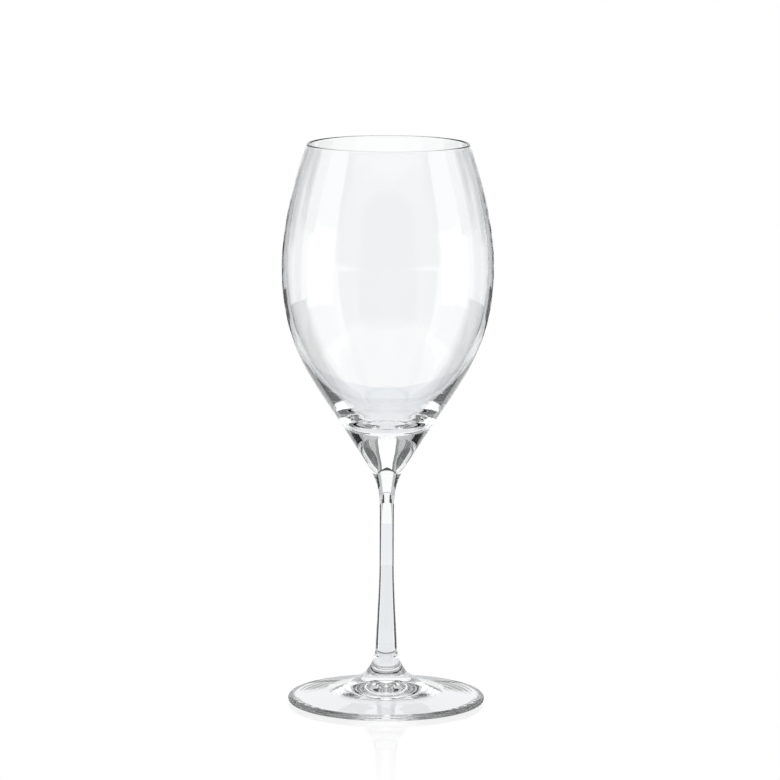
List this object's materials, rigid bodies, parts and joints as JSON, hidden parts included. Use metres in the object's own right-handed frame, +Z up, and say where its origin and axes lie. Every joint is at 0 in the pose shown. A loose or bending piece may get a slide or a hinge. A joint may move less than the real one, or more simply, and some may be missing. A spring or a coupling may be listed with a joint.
{
  "type": "wine glass",
  "caption": "Tall stemmed wine glass in clear glass: egg-shaped bowl narrowing to a fine rim, slender drawn stem with flared ends, flat round foot.",
  "frame": {"origin": "on the table plane, under the middle of the foot", "axes": "+Z up along the glass's axis, from the foot to the rim; the glass is round, so X and Y are free"},
  "size_m": [0.0884, 0.0884, 0.235],
  "materials": {
    "bowl_glass": "smooth clear blown glass, fire-polished rim",
    "stem_glass": "smooth clear drawn glass",
    "foot_glass": "smooth clear glass, fire-polished edge"
  },
  "bodies": {
    "root": {"bowl": "bowl_glass", "stem": "stem_glass", "foot": "foot_glass"}
  },
  "joints": []
}
